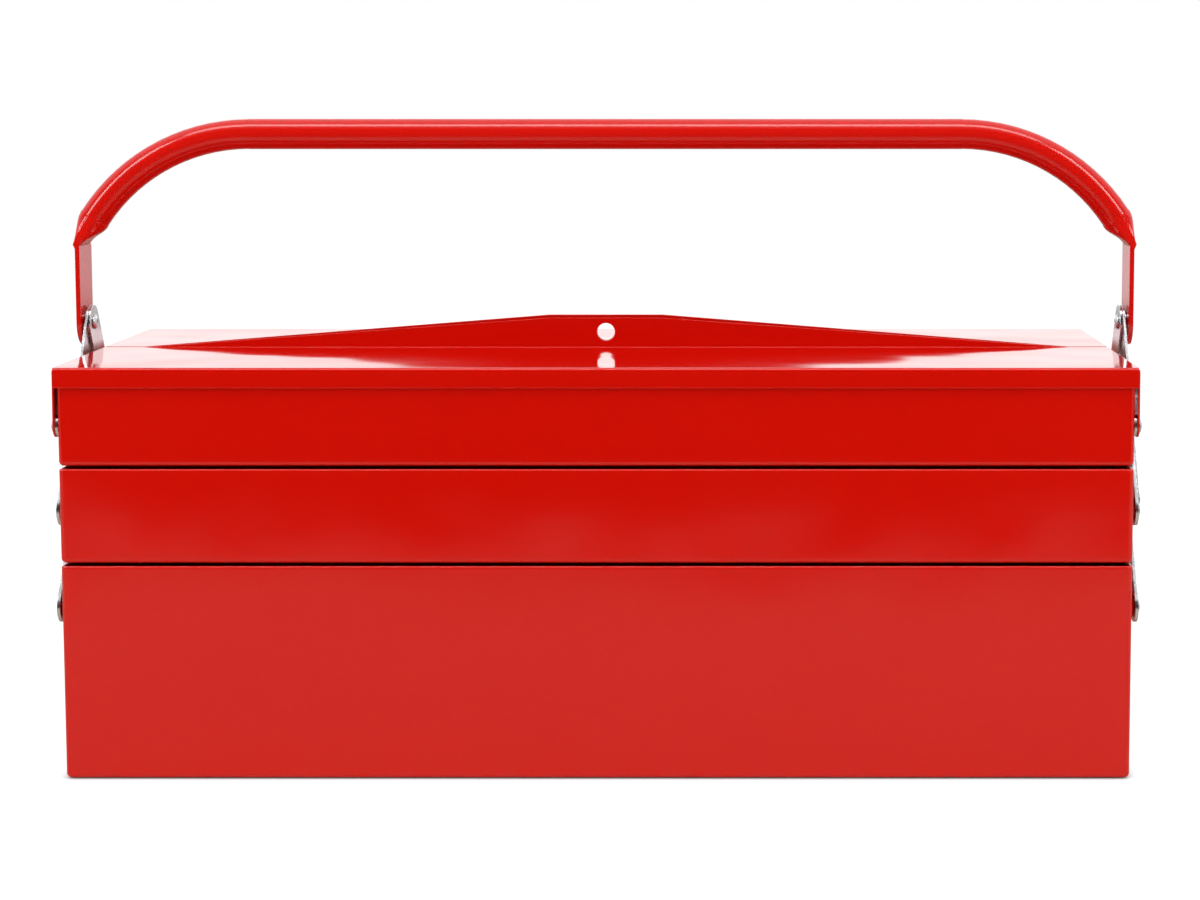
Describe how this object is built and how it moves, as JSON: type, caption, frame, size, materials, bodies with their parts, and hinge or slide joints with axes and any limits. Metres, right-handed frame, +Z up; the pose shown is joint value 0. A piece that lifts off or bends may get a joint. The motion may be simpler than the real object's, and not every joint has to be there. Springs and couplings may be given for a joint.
{
  "type": "cantilever tool box",
  "caption": "Red steel cantilever tool box with stepped trays on parallel end arms, split hinged lids, a padlock hole and a bent tube handle that draws it closed.",
  "frame": {"origin": "centre of the bottom tray's footprint, on the surface that the box stands on", "axes": "+X along the box's length, -Y out of the front, +Z up"},
  "size_m": [0.5596, 0.2024, 0.3266],
  "materials": {
    "red_paint": "glossy baked enamel on sheet steel",
    "zinc_plate": "bright zinc plate"
  },
  "bodies": {
    "bottom_tray": {"bottom_tray": "red_paint", "bottom_tray_rivets": "zinc_plate"},
    "long_arms_front": {"long_arm_front_left": "zinc_plate", "long_arm_front_right": "zinc_plate"},
    "lower_arms_front": {"lower_arm_front_left": "zinc_plate", "lower_arm_front_right": "zinc_plate"},
    "mid_tray_front": {"mid_tray_front": "red_paint", "mid_tray_rivets_front": "zinc_plate"},
    "upper_arms_front": {"upper_arm_front_left": "zinc_plate", "upper_arm_front_right": "zinc_plate"},
    "top_tray_front": {"top_tray_front": "red_paint", "top_tray_rivets_front": "zinc_plate", "lid_spacers_front": "zinc_plate"},
    "lid_front": {"lid_front": "red_paint"},
    "long_arms_rear": {"long_arm_rear_left": "zinc_plate", "long_arm_rear_right": "zinc_plate"},
    "lower_arms_rear": {"lower_arm_rear_left": "zinc_plate", "lower_arm_rear_right": "zinc_plate"},
    "mid_tray_rear": {"mid_tray_rear": "red_paint", "mid_tray_rivets_rear": "zinc_plate"},
    "upper_arms_rear": {"upper_arm_rear_left": "zinc_plate", "upper_arm_rear_right": "zinc_plate"},
    "top_tray_rear": {"top_tray_rear": "red_paint", "top_tray_rivets_rear": "zinc_plate", "lid_spacers_rear": "zinc_plate"},
    "lid_rear": {"lid_rear": "red_paint"},
    "handle_pins": {"handle_rivet_left": "zinc_plate", "handle_rivet_right": "zinc_plate", "handle_washer_left": "zinc_plate", "handle_washer_right": "zinc_plate"},
    "handle_links_front": {"handle_link_front_left": "zinc_plate", "handle_link_front_right": "zinc_plate", "link_rivets_front": "zinc_plate"},
    "handle_links_rear": {"handle_link_rear_left": "zinc_plate", "handle_link_rear_right": "zinc_plate", "link_rivets_rear": "zinc_plate"},
    "handle": {"handle": "red_paint"}
  },
  "joints": [
    {"name": "fold_front", "type": "hinge", "parent": "bottom_tray", "child": "long_arms_front", "pos_m": [0, -0.0845, 0.084], "axis": [1, 0, 0], "range_deg": [0, 42]},
    {"name": "lower_arm_swing_front", "type": "hinge", "parent": "bottom_tray", "child": "lower_arms_front", "pos_m": [0, -0.0545, 0.084], "axis": [1, 0, 0], "range_deg": [0, 42]},
    {"name": "mid_tray_level_front", "type": "hinge", "parent": "long_arms_front", "child": "mid_tray_front", "pos_m": [0, -0.0515, 0.1324], "axis": [-1, 0, 0], "range_deg": [0, 42]},
    {"name": "top_tray_level_front", "type": "hinge", "parent": "long_arms_front", "child": "top_tray_front", "pos_m": [0, -0.0185, 0.1808], "axis": [-1, 0, 0], "range_deg": [0, 42]},
    {"name": "upper_arm_swing_front", "type": "hinge", "parent": "mid_tray_front", "child": "upper_arms_front", "pos_m": [0, -0.0815, 0.1324], "axis": [1, 0, 0], "range_deg": [0, 42]},
    {"name": "lid_hinge_front", "type": "hinge", "parent": "top_tray_front", "child": "lid_front", "pos_m": [0, -0.093, 0.1763], "axis": [1, 0, 0], "range_deg": [0, 110]},
    {"name": "fold_rear", "type": "hinge", "parent": "bottom_tray", "child": "long_arms_rear", "pos_m": [0, 0.0845, 0.084], "axis": [-1, 0, 0], "range_deg": [0, 42]},
    {"name": "lower_arm_swing_rear", "type": "hinge", "parent": "bottom_tray", "child": "lower_arms_rear", "pos_m": [0, 0.0545, 0.084], "axis": [-1, 0, 0], "range_deg": [0, 42]},
    {"name": "mid_tray_level_rear", "type": "hinge", "parent": "long_arms_rear", "child": "mid_tray_rear", "pos_m": [0, 0.0515, 0.1324], "axis": [1, 0, 0], "range_deg": [0, 42]},
    {"name": "top_tray_level_rear", "type": "hinge", "parent": "long_arms_rear", "child": "top_tray_rear", "pos_m": [0, 0.0185, 0.1808], "axis": [1, 0, 0], "range_deg": [0, 42]},
    {"name": "upper_arm_swing_rear", "type": "hinge", "parent": "mid_tray_rear", "child": "upper_arms_rear", "pos_m": [0, 0.0815, 0.1324], "axis": [-1, 0, 0], "range_deg": [0, 42]},
    {"name": "lid_hinge_rear", "type": "hinge", "parent": "top_tray_rear", "child": "lid_rear", "pos_m": [0, 0.093, 0.1763], "axis": [-1, 0, 0], "range_deg": [0, 110]},
    {"name": "pivot_drop", "type": "slide", "parent": "bottom_tray", "child": "handle_pins", "axis": [0, 0, -1], "range_m": [0, 0.02542]},
    {"name": "link_spread_front", "type": "hinge", "parent": "handle_pins", "child": "handle_links_front", "pos_m": [0, 0, 0.2191], "axis": [-1, 0, 0], "range_deg": [0, 30.67]},
    {"name": "link_spread_rear", "type": "hinge", "parent": "handle_pins", "child": "handle_links_rear", "pos_m": [0, 0, 0.2191], "axis": [1, 0, 0], "range_deg": [0, 30.67]},
    {"name": "handle_swing", "type": "hinge", "parent": "handle_pins", "child": "handle", "pos_m": [0, 0, 0.2191], "axis": [1, 0, 0], "range_deg": [-45, 45]}
  ],
  "couplings": [
    {"joint": "lower_arm_swing_front", "follows": "fold_front", "ratio": 1},
    {"joint": "mid_tray_level_front", "follows": "fold_front", "ratio": 1},
    {"joint": "top_tray_level_front", "follows": "fold_front", "ratio": 1},
    {"joint": "upper_arm_swing_front", "follows": "fold_front", "ratio": 1},
    {"joint": "fold_rear", "follows": "fold_front", "ratio": 1},
    {"joint": "lower_arm_swing_rear", "follows": "fold_front", "ratio": 1},
    {"joint": "mid_tray_level_rear", "follows": "fold_front", "ratio": 1},
    {"joint": "top_tray_level_rear", "follows": "fold_front", "ratio": 1},
    {"joint": "upper_arm_swing_rear", "follows": "fold_front", "ratio": 1},
    {"joint": "pivot_drop", "follows": "fold_front", "m_per_rad": 0.034664},
    {"joint": "link_spread_front", "follows": "fold_front", "ratio": 0.73},
    {"joint": "link_spread_rear", "follows": "fold_front", "ratio": 0.73}
  ]
}
